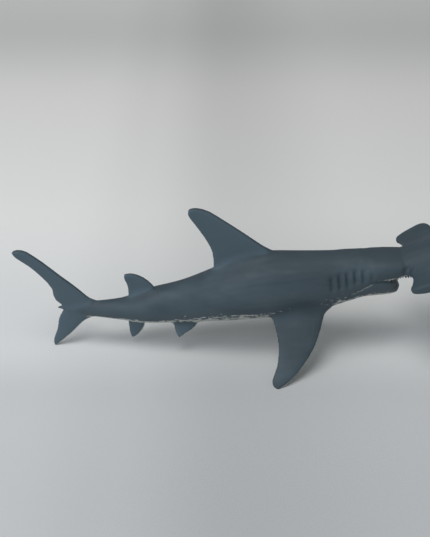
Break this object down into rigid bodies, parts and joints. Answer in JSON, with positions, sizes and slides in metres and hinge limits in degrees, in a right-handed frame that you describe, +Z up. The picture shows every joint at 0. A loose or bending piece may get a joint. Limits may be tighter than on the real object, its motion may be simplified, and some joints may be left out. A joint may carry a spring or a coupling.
{
  "type": "shark figurine",
  "caption": "Moulded hammerhead shark figurine that stands on its pectoral fin tips and its tail, mouth open.",
  "frame": {"origin": "centre of the bounding box at floor level, under the belly a little behind the pectoral fins", "axes": "+X towards the hammer head, +Y towards the shark's left side, +Z up; the shark is symmetric about the XZ plane and stands on z = 0"},
  "size_m": [0.1932, 0.0682, 0.0728],
  "materials": {
    "slate_coat": "satin"
  },
  "bodies": {
    "root": {"shark_body": "slate_coat"}
  },
  "joints": []
}
